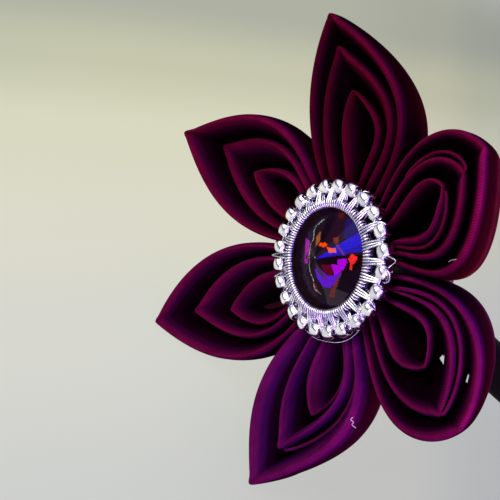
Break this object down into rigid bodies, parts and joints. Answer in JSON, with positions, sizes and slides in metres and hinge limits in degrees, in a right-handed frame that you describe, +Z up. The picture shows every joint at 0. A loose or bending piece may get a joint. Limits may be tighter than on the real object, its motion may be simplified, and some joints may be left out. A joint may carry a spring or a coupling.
{
  "type": "kanzashi headband",
  "caption": "Slim satin-covered headband with a folded-ribbon kanzashi flower of six pointed petals round a cut crystal in a ring of coiled wire and beads.",
  "frame": {"origin": "middle of the ground that the part covers as it lies on its side", "axes": "+Z up, -Y the way the flower faces, +Y from the flower across the head opening, +X along the band where it carries the flower"},
  "size_m": [0.1392, 0.1646, 0.0641],
  "materials": {
    "wine_satin": "wine-red satin ribbon with a fine twill",
    "black_satin": "black satin, wound tight",
    "felt": "dark felt",
    "silver_wire": "silver-plated fine wire",
    "silver_bead": "polished silver",
    "crystal": "dark purple cut crystal with a foiled back"
  },
  "bodies": {
    "root": {"band": "black_satin", "pad": "felt", "setting": "silver_wire", "crystal": "crystal", "petal_1_outer": "wine_satin", "petal_1_middle": "wine_satin", "petal_1_inner": "wine_satin", "petal_2_outer": "wine_satin", "petal_2_middle": "wine_satin", "petal_2_inner": "wine_satin", "petal_3_outer": "wine_satin", "petal_3_middle": "wine_satin", "petal_3_inner": "wine_satin", "petal_4_outer": "wine_satin", "petal_4_middle": "wine_satin", "petal_4_inner": "wine_satin", "petal_5_outer": "wine_satin", "petal_5_middle": "wine_satin", "petal_5_inner": "wine_satin", "petal_6_outer": "wine_satin", "petal_6_middle": "wine_satin", "petal_6_inner": "wine_satin", "bead_01": "silver_bead", "bead_02": "silver_bead", "bead_03": "silver_bead", "bead_04": "silver_bead", "bead_05": "silver_bead", "bead_06": "silver_bead", "bead_07": "silver_bead", "bead_08": "silver_bead", "bead_09": "silver_bead", "bead_10": "silver_bead", "bead_11": "silver_bead", "bead_12": "silver_bead", "bead_13": "silver_bead", "bead_14": "silver_bead", "bead_15": "silver_bead", "bead_16": "silver_bead", "bead_17": "silver_bead", "bead_18": "silver_bead", "bead_19": "silver_bead", "bead_20": "silver_bead", "bead_21": "silver_bead", "bead_22": "silver_bead", "bead_23": "silver_bead", "bead_24": "silver_bead"}
  },
  "joints": []
}
